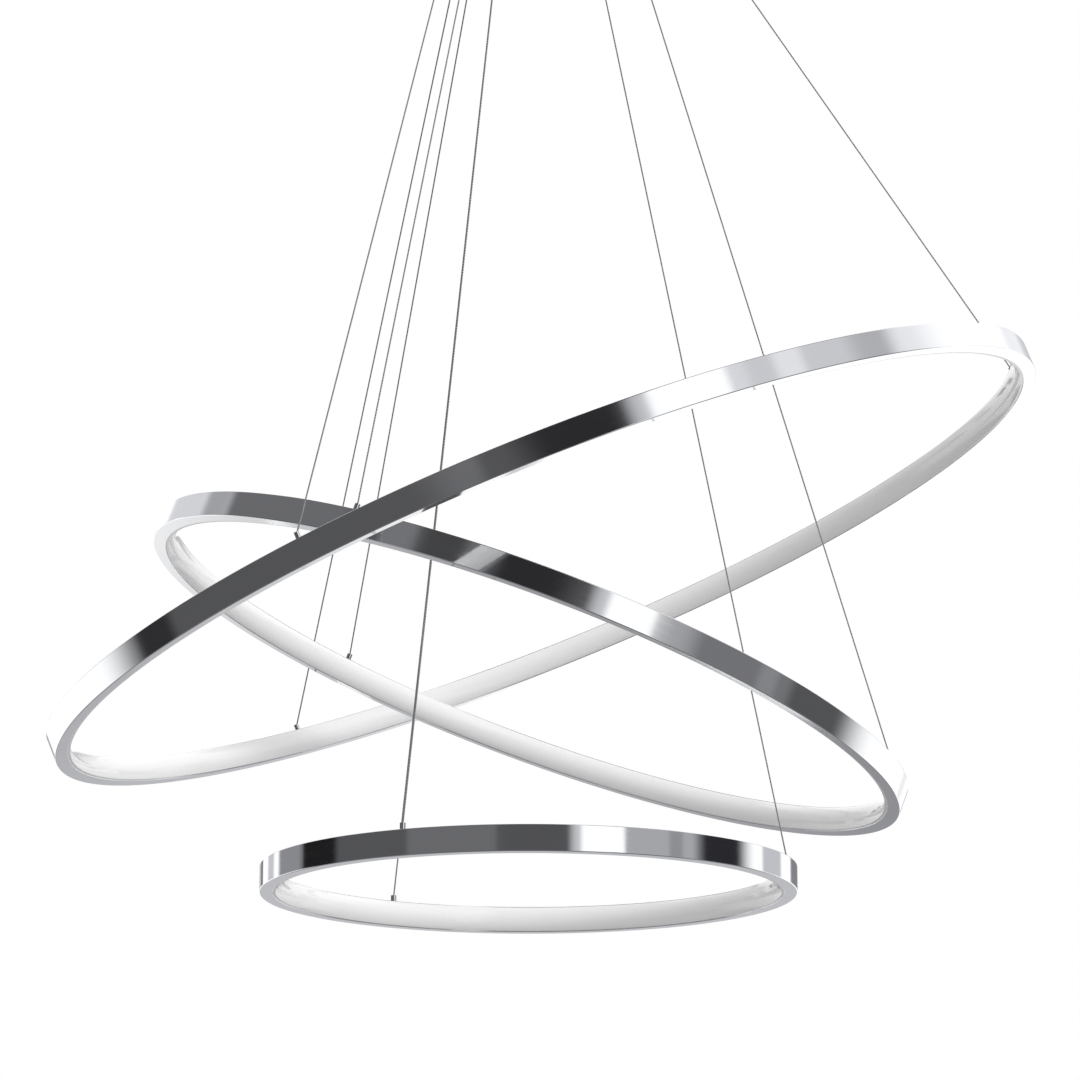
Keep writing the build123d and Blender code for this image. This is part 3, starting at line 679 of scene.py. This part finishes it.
# softboxes and flags that only the reflections show. at and wide are degrees round the chandelier (0 behind
# the camera, 90 at its right hand), low and high are degrees above the horizon; later ones cover earlier ones
wallTone = "#515153"
studioPanels = [
    dict(at=-156, wide=88, low=-90, high=90, tone="#FFFFFF", soft=(20, 4)),  # left softbox
    dict(at=-125, wide=21, low=3, high=15, tone="#86868A", soft=(4, 3)),
    dict(at=-123, wide=16, low=15, high=50, tone="#9C9C9F", soft=(10, 5)),
    dict(at=-144, wide=26, low=15, high=50, tone="#CDCDD0", soft=(8, 5)),
    dict(at=-146, wide=8, low=4, high=14, tone="#C0C0C4", soft=(3, 3)),
    dict(at=-163.5, wide=6, low=8, high=14, tone="#68686C", soft=(3, 1.5)),
    dict(at=-103.5, wide=23, low=3, high=20, tone="#1B1B1C", soft=(5, 5)),   # left flag
    dict(at=-98, wide=11, low=-90, high=3, tone="#2C2C2E", soft=(4, 4)),
    dict(at=-88, wide=54, low=22, high=50, tone="#666668", soft=(6, 5)),
    dict(at=-35.5, wide=39, low=4, high=24, tone="#666668", soft=(3, 4)),
    dict(at=-42, wide=11, low=25.5, high=55, tone="#707073", soft=(4, 2)),
    dict(at=-27.5, wide=12, low=20, high=28, tone="#404042", soft=(5, 3)),
    dict(at=1, wide=25, low=11, high=55, tone="#28282A", soft=(6, 4)),       # flag over the camera
    dict(at=56, wide=44, low=-90, high=3, tone="#707072", soft=(5, 5)),      # grey wall on the right
    dict(at=69.5, wide=5, low=-90, high=0, tone="#828285", soft=(4, 3)),
    dict(at=56, wide=44, low=3, high=18, tone="#A2A2A5", soft=(4, 6)),
    dict(at=62.5, wide=3, low=3, high=18, tone="#8C8C8F", soft=(6, 6)),
    dict(at=71, wide=72, low=18, high=55, tone="#C4C4C7", soft=(10, 8)),
    dict(at=55, wide=4, low=24, high=55, tone="#DEDEE0", soft=(7, 6)),
    dict(at=39.5, wide=4, low=22, high=55, tone="#D2D2D5", soft=(7, 5)),     # the strip softbox's fading edges
    dict(at=34.5, wide=15, low=-90, high=3, tone="#9E9EA0", soft=(12, 4)),
    dict(at=20.7, wide=8, low=-90, high=55, tone="#C0C0C2", soft=(7, 4)),
    dict(at=26.1, wide=12.6, low=-90, high=5, tone="#FFFFFF", soft=(2.6, 4)),  # strip softbox
    dict(at=29, wide=18.8, low=3, high=55, tone="#FFFFFF", soft=(2.6, 4)),
    dict(at=84, wide=14, low=22, high=55, tone="#ABABAE", soft=(12, 6)),
    dict(at=98, wide=14, low=22, high=55, tone="#E4E4E6", soft=(12, 6)),
    dict(at=87, wide=24, low=3, high=20, tone="#27272A", soft=(10, 5)),      # right flag
    dict(at=144.5, wide=70, low=-90, high=3, tone="#FFFFFF", soft=(24, 4)),  # right softbox
    dict(at=141.5, wide=76, low=3, high=55, tone="#FFFFFF", soft=(15, 4)),
    dict(at=125, wide=18, low=4, high=14, tone="#BCBCC0", soft=(3, 3)),
    dict(at=158.5, wide=20, low=8, high=14, tone="#7C7C80", soft=(4, 2)),
    dict(at=156, wide=24, low=15, high=32, tone="#EAEAEC", soft=(6, 4)),
    dict(at=167, wide=16, low=14, high=25, tone="#C4C4C8", soft=(10, 3)),
    dict(at=171, wide=6, low=6, high=22, tone="#A0A0A4", soft=(4, 4)),       # edges of both softboxes
    dict(at=-171, wide=5, low=5, high=12, tone="#9A9A9E", soft=(3, 3)),
    dict(at=180, wide=18, low=-90, high=-7.3, tone="#B4B4B7", soft=(6, 1.2)),  # floor beyond the rings
    dict(at=180, wide=22, low=-90, high=-11.1, tone="#88888B", soft=(10, 4)),
    dict(at=0, wide=360, low=-90, high=-22, tone="#808083", soft=(0, 8)),    # floor below
    dict(at=0, wide=360, low=-90, high=-58, tone="#1C1C1D", soft=(0, 16)),   # dark spot under the rings
    dict(at=0, wide=360, low=58, high=90, tone="#3A3A3B", soft=(0, 8)),      # ceiling
]

world = bpy.data.worlds.new("studio")
world.use_nodes = True
sky = world.node_tree
sky.nodes.clear()
direction = addNode(sky, "TexCoord").outputs["Generated"]
split = addNode(sky, "SeparateXYZ", {0: direction})
elevation = addNode(sky, "Math", {0: split.outputs["Z"]}, operation="ARCSINE").outputs[0]
level = addNode(sky, "VectorMath", {0: direction, 1: (1, 1, 0)}, operation="MULTIPLY")
level = addNode(sky, "VectorMath", {0: level.outputs[0]}, operation="NORMALIZE").outputs[0]


def edgeAt(value, low, high, rising=True):
    # 0 to 1 over a soft edge, or 1 to 0
    return addNode(sky, "MapRange", {"Value": value, "From Min": low, "From Max": high,
                                     "To Min": 0.0 if rising else 1.0, "To Max": 1.0 if rising else 0.0},
                   interpolation_type="SMOOTHSTEP").outputs[0]


def panelMask(panel):
    # where the panel hangs, as the product of its soft edges
    sideSoft, upSoft = (value / 2 for value in panel["soft"])
    edges = []
    if panel["wide"] < 360:
        t, half = radians(panel["at"]), panel["wide"] / 2
        facing = addNode(sky, "VectorMath", {0: level, 1: (sin(t), -cos(t), 0)}, operation="DOT_PRODUCT")
        outside, inside = cos(radians(half + sideSoft)), cos(radians(half - sideSoft))
        edges.append(edgeAt(facing.outputs["Value"], outside, inside))
    if panel["low"] > -90:
        edges.append(edgeAt(elevation, radians(panel["low"] - upSoft), radians(panel["low"] + upSoft)))
    if panel["high"] < 90:
        edges.append(edgeAt(elevation, radians(panel["high"] - upSoft), radians(panel["high"] + upSoft),
                            rising=False))
    mask = edges[0]
    for edge in edges[1:]:
        mask = addNode(sky, "Math", {0: mask, 1: edge}, operation="MULTIPLY").outputs[0]
    return mask


wall = srgb(wallTone)
for panel in studioPanels:
    wall = addNode(sky, "Mix", {"Factor": panelMask(panel), "A": wall, "B": srgb(panel["tone"])},
                   data_type="RGBA").outputs["Result"]
upness = addNode(sky, "MapRange", {"Value": split.outputs["Z"], "From Min": -1, "From Max": 1})
softSky = addNode(sky, "ValToRGB", {"Fac": upness.outputs[0]})
for i, (height, tone) in enumerate(studio["sky"]):
    stop = softSky.color_ramp.elements[i] if i < 2 else softSky.color_ramp.elements.new(height)
    stop.position, stop.color = height, srgb(tone)
ambient = addNode(sky, "Background", {"Color": softSky.outputs["Color"], "Strength": 1.0})
mirrored = addNode(sky, "Background", {"Color": wall, "Strength": studio["mirrorStrength"]})
backdrop = addNode(sky, "Background", {"Color": srgb("#FFFFFF"), "Strength": 1.0})
rays = addNode(sky, "LightPath")
lit = addNode(sky, "MixShader", {0: rays.outputs["Is Glossy Ray"], 1: ambient.outputs[0],
                                 2: mirrored.outputs[0]})
seen = addNode(sky, "MixShader", {0: rays.outputs["Is Camera Ray"], 1: lit.outputs[0],
                                  2: backdrop.outputs[0]})
addNode(sky, "OutputWorld", {"Surface": seen.outputs[0]})
bpy.context.scene.world = world
bpy.context.scene.view_settings.view_transform = "Standard"
print("studio lit")
